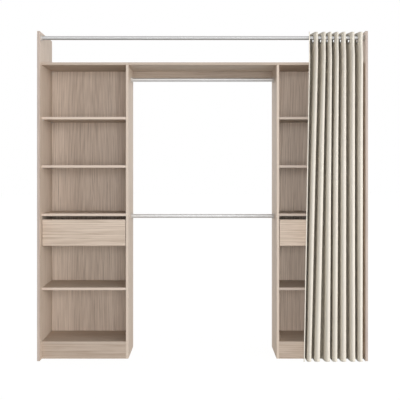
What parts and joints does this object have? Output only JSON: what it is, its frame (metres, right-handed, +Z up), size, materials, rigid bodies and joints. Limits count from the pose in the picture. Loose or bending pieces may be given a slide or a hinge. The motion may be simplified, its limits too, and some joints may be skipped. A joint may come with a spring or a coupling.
{
  "type": "curtain wardrobe",
  "caption": "Open wardrobe with shelf columns beside a hanging bay, a drawer in each column, and a curtain on a rod across the whole front.",
  "frame": {"origin": "on the floor, in the middle of the bounding box's width and depth", "axes": "+X to the right seen from the front, +Y to the back, towards the back panels, +Z up"},
  "size_m": [2.054, 0.541, 2.05],
  "materials": {
    "oak_board": "satin",
    "back_board": "satin",
    "drawer_box_board": "satin",
    "drawer_bottom_board": "satin",
    "rod_steel": "satin",
    "socket_plastic": "satin",
    "runner_steel": "satin",
    "roller_nylon": "matte",
    "curtain_cloth": "matte",
    "eyelet_steel": "satin",
    "dowel_beech": "matte",
    "fitting_zinc": "satin",
    "fitting_steel": "satin"
  },
  "bodies": {
    "cabinet": {"back_rail": "oak_board", "cam_bolts": "fitting_zinc", "cams": "fitting_zinc", "curtain_rod": "rod_steel", "curtain_rod_sockets": "socket_plastic", "dowels": "dowel_beech", "left_back_panel": "back_board", "left_bottom_shelf": "oak_board", "left_cabinet_runners": "runner_steel", "left_drawer_shelf": "oak_board", "left_lower_shelf": "oak_board", "left_middle_shelf": "oak_board", "left_plinth": "oak_board", "left_side_panel": "oak_board", "left_upper_shelf": "oak_board", "left_upright": "oak_board", "lower_hanging_rod": "rod_steel", "lower_hanging_rod_sockets": "socket_plastic", "right_back_panel": "back_board", "right_bottom_shelf": "oak_board", "right_cabinet_runners": "runner_steel", "right_drawer_shelf": "oak_board", "right_lower_shelf": "oak_board", "right_middle_shelf": "oak_board", "right_plinth": "oak_board", "right_side_panel": "oak_board", "right_upper_shelf": "oak_board", "right_upright": "oak_board", "shelf_pins": "fitting_steel", "top_shelf": "oak_board", "upper_hanging_rod": "rod_steel", "upper_hanging_rod_sockets": "socket_plastic"},
    "left_drawer": {"left_drawer_front": "oak_board", "left_drawer_left_side": "drawer_box_board", "left_drawer_right_side": "drawer_box_board", "left_drawer_back": "drawer_box_board", "left_drawer_bottom": "drawer_bottom_board", "left_drawer_runners": "runner_steel", "left_drawer_screws": "fitting_steel"},
    "left_cabinet_rollers": {"left_cabinet_rollers": "roller_nylon"},
    "left_drawer_rollers": {"left_drawer_rollers": "roller_nylon"},
    "right_drawer": {"right_drawer_front": "oak_board", "right_drawer_left_side": "drawer_box_board", "right_drawer_right_side": "drawer_box_board", "right_drawer_back": "drawer_box_board", "right_drawer_bottom": "drawer_bottom_board", "right_drawer_runners": "runner_steel", "right_drawer_screws": "fitting_steel"},
    "right_cabinet_rollers": {"right_cabinet_rollers": "roller_nylon"},
    "right_drawer_rollers": {"right_drawer_rollers": "roller_nylon"},
    "curtain": {"curtain_fabric": "curtain_cloth", "curtain_eyelets": "eyelet_steel"}
  },
  "joints": [
    {"name": "left_drawer_slide", "type": "slide", "parent": "cabinet", "child": "left_drawer", "axis": [0, -1, 0], "range_m": [0, 0.26]},
    {"name": "left_cabinet_rollers_spin", "type": "hinge", "parent": "cabinet", "child": "left_cabinet_rollers", "pos_m": [-0.7465, -0.1185, 0.7373], "axis": [1, 0, 0], "range_deg": [0, 1360]},
    {"name": "left_drawer_rollers_spin", "type": "hinge", "parent": "left_drawer", "child": "left_drawer_rollers", "pos_m": [-0.7465, 0.1955, 0.7353], "axis": [1, 0, 0], "range_deg": [0, 1360]},
    {"name": "right_drawer_slide", "type": "slide", "parent": "cabinet", "child": "right_drawer", "axis": [0, -1, 0], "range_m": [0, 0.26], "deforming": ["curtain_fabric", "curtain_eyelets"]},
    {"name": "right_cabinet_rollers_spin", "type": "hinge", "parent": "cabinet", "child": "right_cabinet_rollers", "pos_m": [0.7465, -0.1185, 0.7373], "axis": [1, 0, 0], "range_deg": [0, 1360]},
    {"name": "right_drawer_rollers_spin", "type": "hinge", "parent": "right_drawer", "child": "right_drawer_rollers", "pos_m": [0.7465, 0.1955, 0.7353], "axis": [1, 0, 0], "range_deg": [0, 1360]},
    {"name": "curtain_slide", "type": "slide", "parent": "cabinet", "child": "curtain", "axis": [1, 0, 0], "range_m": [-1.62, 0]}
  ],
  "couplings": [
    {"joint": "left_cabinet_rollers_spin", "follows": "left_drawer_slide", "rad_per_m": 90.909},
    {"joint": "left_drawer_rollers_spin", "follows": "left_drawer_slide", "rad_per_m": 90.909},
    {"joint": "right_cabinet_rollers_spin", "follows": "right_drawer_slide", "rad_per_m": 90.909},
    {"joint": "right_drawer_rollers_spin", "follows": "right_drawer_slide", "rad_per_m": 90.909}
  ]
}
